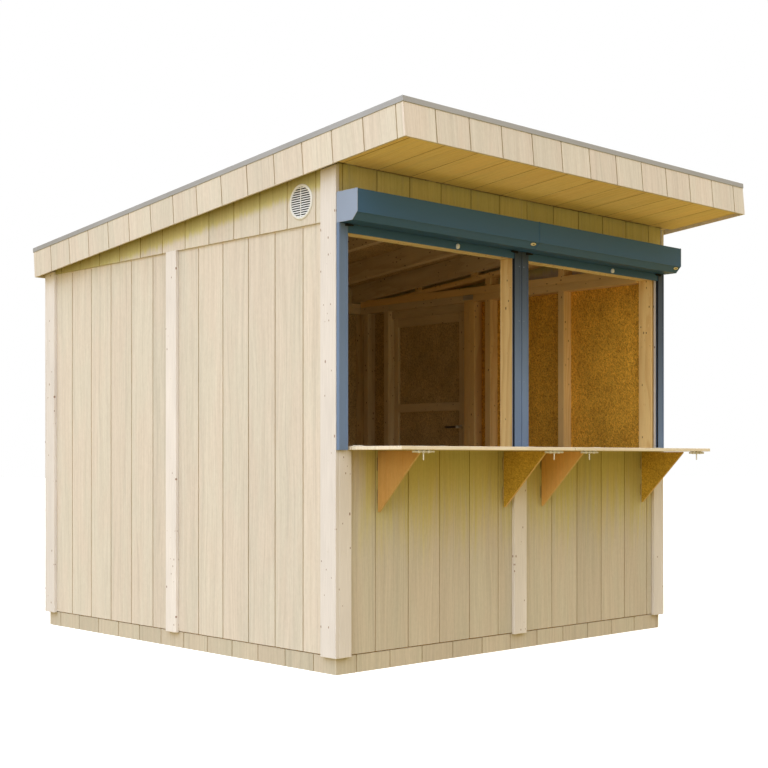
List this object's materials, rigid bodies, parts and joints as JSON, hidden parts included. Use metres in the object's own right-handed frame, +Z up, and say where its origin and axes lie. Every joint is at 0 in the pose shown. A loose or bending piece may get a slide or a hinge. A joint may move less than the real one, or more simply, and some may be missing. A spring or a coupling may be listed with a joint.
{
  "type": "wooden garden kiosk",
  "caption": "Wooden garden kiosk with a sloping roof over a serving front, roller shutter openings, folding counters on swinging brackets and a side door.",
  "frame": {"origin": "on the ground under the middle of the whole kiosk's bounding box", "axes": "+Z up, the serving front faces -Y, +X to the right as seen by someone facing the front"},
  "size_m": [2.5216, 3.089, 2.4273],
  "materials": {
    "roof_membrane": "granular bitumen roofing, matt, with a metal drip edge",
    "framing_timber": "sawn construction timber",
    "floor_board": "oriented strand board",
    "siding_panel": "grooved engineered wood siding, clear coated",
    "spruce_trim": "planed spruce boards with small knots",
    "bracket_board": "siding offcut, smooth face and strand face",
    "counter_board": "engineered wood board",
    "shutter_metal": "dark blue-grey powder coat, satin",
    "white_plastic": "moulded plastic",
    "zinc_steel": "zinc plated"
  },
  "bodies": {
    "kiosk": {"roof_cover": "roof_membrane", "roof_deck": "framing_timber", "fascia_front": "siding_panel", "fascia_back": "siding_panel", "fascia_left": "siding_panel", "fascia_right": "siding_panel", "roof_frame": "framing_timber", "soffit": "siding_panel", "base_frame": "framing_timber", "floor": "floor_board", "plinth": "siding_panel", "front_wall_left": "siding_panel", "front_wall_right": "siding_panel", "front_post_middle": "framing_timber", "front_upper_wall": "siding_panel", "sill_board": "counter_board", "left_wall": "siding_panel", "right_wall_front": "siding_panel", "right_wall_back": "siding_panel", "door_header": "siding_panel", "left_upper_wall": "siding_panel", "right_upper_wall": "siding_panel", "vent_cover": "white_plastic", "back_wall": "siding_panel", "corner_board_front_left": "spruce_trim", "corner_board_back_left": "spruce_trim", "corner_board_front_right": "spruce_trim", "corner_board_back_right": "spruce_trim", "front_batten": "spruce_trim", "left_batten": "spruce_trim", "right_batten": "spruce_trim", "back_batten": "spruce_trim", "door_casing": "spruce_trim", "shutter_box_left": "shutter_metal", "shutter_box_right": "shutter_metal", "shutter_guide_left": "shutter_metal", "shutter_guide_middle": "shutter_metal", "shutter_guide_right": "shutter_metal", "shutter_bar_left": "shutter_metal", "shutter_bar_right": "shutter_metal"},
    "side_door": {"side_door": "siding_panel", "door_handle": "zinc_steel"},
    "counter_leaf_left": {"counter_leaf_left": "counter_board"},
    "counter_leaf_right": {"counter_leaf_right": "counter_board"},
    "counter_bracket_1": {"counter_bracket_1": "bracket_board"},
    "counter_bracket_2": {"counter_bracket_2": "bracket_board"},
    "counter_bracket_3": {"counter_bracket_3": "bracket_board"},
    "counter_bracket_4": {"counter_bracket_4": "bracket_board"}
  },
  "joints": [
    {"name": "side_door_swing", "type": "hinge", "parent": "kiosk", "child": "side_door", "pos_m": [1.214, 1.11817, 1], "axis": [0, 0, 1], "range_deg": [0, 160]},
    {"name": "counter_leaf_left_fold", "type": "hinge", "parent": "kiosk", "child": "counter_leaf_left", "pos_m": [-0.573, -1.08083, 1.005], "axis": [-1, 0, 0], "range_deg": [0, 90]},
    {"name": "counter_leaf_right_fold", "type": "hinge", "parent": "kiosk", "child": "counter_leaf_right", "pos_m": [0.573, -1.08083, 1.005], "axis": [-1, 0, 0], "range_deg": [0, 90]},
    {"name": "counter_bracket_1_swing", "type": "hinge", "parent": "kiosk", "child": "counter_bracket_1", "pos_m": [-0.939, -1.04233, 0.845], "axis": [0, 0, 1], "range_deg": [0, 90]},
    {"name": "counter_bracket_2_swing", "type": "hinge", "parent": "kiosk", "child": "counter_bracket_2", "pos_m": [-0.116, -1.04233, 0.845], "axis": [0, 0, -1], "range_deg": [0, 90]},
    {"name": "counter_bracket_3_swing", "type": "hinge", "parent": "kiosk", "child": "counter_bracket_3", "pos_m": [0.183, -1.04233, 0.845], "axis": [0, 0, 1], "range_deg": [0, 90]},
    {"name": "counter_bracket_4_swing", "type": "hinge", "parent": "kiosk", "child": "counter_bracket_4", "pos_m": [1.012, -1.04233, 0.845], "axis": [0, 0, -1], "range_deg": [0, 90]}
  ]
}
